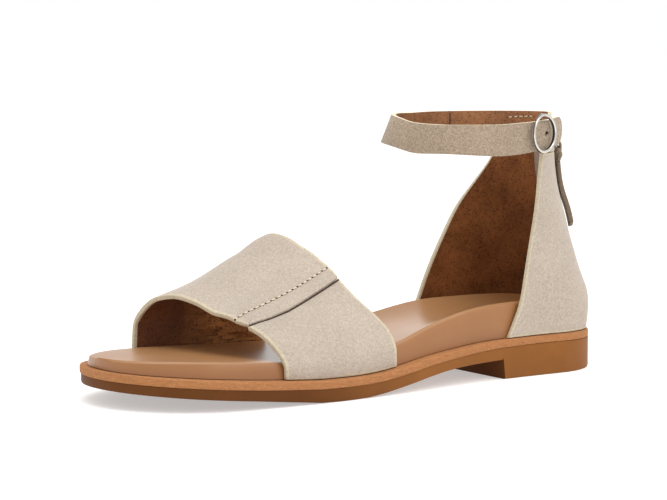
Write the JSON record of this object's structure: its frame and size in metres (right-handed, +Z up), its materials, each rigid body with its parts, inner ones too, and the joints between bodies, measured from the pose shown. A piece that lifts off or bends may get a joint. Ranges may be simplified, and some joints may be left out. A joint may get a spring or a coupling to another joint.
{
  "type": "ankle strap sandal",
  "caption": "Flat open-toed left sandal with a lapped suede front band, closed heel with a back zip, ankle strap with a round buckle, and a thick dished footbed.",
  "frame": {"origin": "on the floor, under the middle of the sole's length and width", "axes": "+X to the toe, +Y to the outer side of the foot, +Z up"},
  "size_m": [0.256, 0.0908, 0.1199],
  "materials": {
    "suede": "matt suede nap",
    "facing_suede": "matt suede nap",
    "thong_suede": "matt suede nap",
    "footbed_leather": "smooth, satin",
    "welt": "rough stacked leather, matt",
    "rubber": "satin",
    "zip_tape": "woven, matt",
    "zip_metal": "satin",
    "silver": "polished"
  },
  "bodies": {
    "sandal": {"outsole": "rubber", "welt_band": "welt", "footbed": "footbed_leather", "front_band_outer_panel": "suede", "front_band_inner_panel": "suede", "quarter_outer": "suede", "quarter_inner": "suede", "back_zip": "zip_tape", "zip_facing": "facing_suede", "zip_slider": "zip_metal", "collar_tab": "suede", "ankle_strap": "suede", "buckle_ring": "silver", "buckle_prong": "silver"},
    "zip_pull": {"zip_pull_tab": "zip_metal", "zip_pull_thong": "thong_suede"}
  },
  "joints": [
    {"name": "zip_pull_hinge", "type": "hinge", "parent": "sandal", "child": "zip_pull", "pos_m": [-0.11184, 0.006, 0.1095], "axis": [0.263, 0.9648, 0.0002], "range_deg": [0, 150]}
  ]
}
